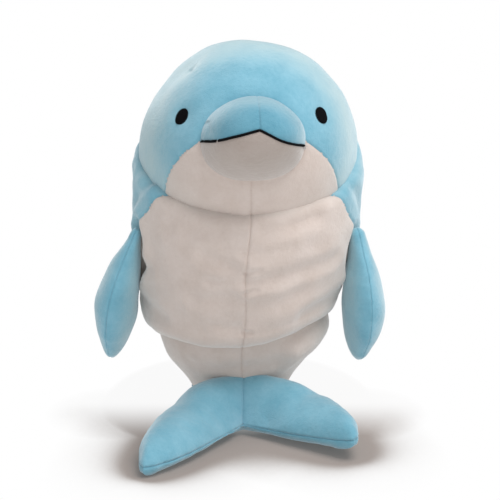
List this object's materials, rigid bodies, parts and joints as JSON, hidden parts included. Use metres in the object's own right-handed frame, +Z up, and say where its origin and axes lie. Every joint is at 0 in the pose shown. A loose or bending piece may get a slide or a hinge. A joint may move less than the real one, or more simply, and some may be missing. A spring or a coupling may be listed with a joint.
{
  "type": "plush toy",
  "caption": "Plush dolphin that sits upright on a flat seat, with a round nodding head, a soft snout, two hanging flippers, a back fin and tail flukes that lie forward on the floor.",
  "frame": {"origin": "middle of the whole toy's box, on the floor it sits on", "axes": "+Z up, -Y the way it faces, +X the toy's own left"},
  "size_m": [0.2844, 0.3618, 0.3719],
  "materials": {
    "blue_plush": "very short soft pile, light blue",
    "cream_plush": "very short soft pile, warm cream",
    "black_thread": "satin-stitched embroidery thread, black",
    "fibre_filling": "loose polyester fibre filling"
  },
  "bodies": {
    "trunk": {"belly_panel_right": "cream_plush", "belly_panel_left": "cream_plush", "back_panel_right": "blue_plush", "back_panel_left": "blue_plush", "trunk_stuffing": "fibre_filling"},
    "head": {"crown_panel": "blue_plush", "nape_panel_right": "blue_plush", "nape_panel_left": "blue_plush", "throat_panel_right": "cream_plush", "throat_panel_left": "cream_plush", "head_stuffing": "fibre_filling", "snout_panel_right": "blue_plush", "snout_panel_left": "blue_plush", "chin_panel": "cream_plush", "snout_stuffing": "fibre_filling", "mouth_thread": "black_thread", "eye_right": "black_thread", "eye_left": "black_thread"},
    "flipper_right": {"flipper_right_outer_panel": "blue_plush", "flipper_right_inner_panel": "blue_plush", "flipper_right_stuffing": "fibre_filling"},
    "flipper_left": {"flipper_left_outer_panel": "blue_plush", "flipper_left_inner_panel": "blue_plush", "flipper_left_stuffing": "fibre_filling"},
    "fin": {"fin_panel_right": "blue_plush", "fin_panel_left": "blue_plush", "fin_stuffing": "fibre_filling"},
    "tail": {"fluke_panel_right": "blue_plush", "fluke_panel_left": "blue_plush", "fluke_underside_panel": "blue_plush", "fluke_stuffing": "fibre_filling"}
  },
  "joints": [
    {"name": "neck_nod", "type": "hinge", "parent": "trunk", "child": "head", "pos_m": [0.00862, 0.02925, 0.266], "axis": [1, 0, 0], "range_deg": [-12, 12], "stiffness_Nm_per_rad": 1},
    {"name": "flipper_right_lift", "type": "hinge", "parent": "trunk", "child": "flipper_right", "pos_m": [-0.1043, -0.01926, 0.19625], "axis": [0, 1, 0], "range_deg": [0, 80]},
    {"name": "flipper_left_lift", "type": "hinge", "parent": "trunk", "child": "flipper_left", "pos_m": [0.11588, -0.01926, 0.19625], "axis": [0, -1, 0], "range_deg": [0, 80]},
    {"name": "fin_flop", "type": "hinge", "parent": "trunk", "child": "fin", "pos_m": [0.00332, 0.13869, 0.17061], "axis": [0.0409, 0.126, 0.9912], "range_deg": [-25, 25], "stiffness_Nm_per_rad": 0.05},
    {"name": "tail_lift", "type": "hinge", "parent": "trunk", "child": "tail", "pos_m": [0.00362, -0.04191, 0.049], "axis": [-1, 0, 0], "range_deg": [0, 45]}
  ]
}
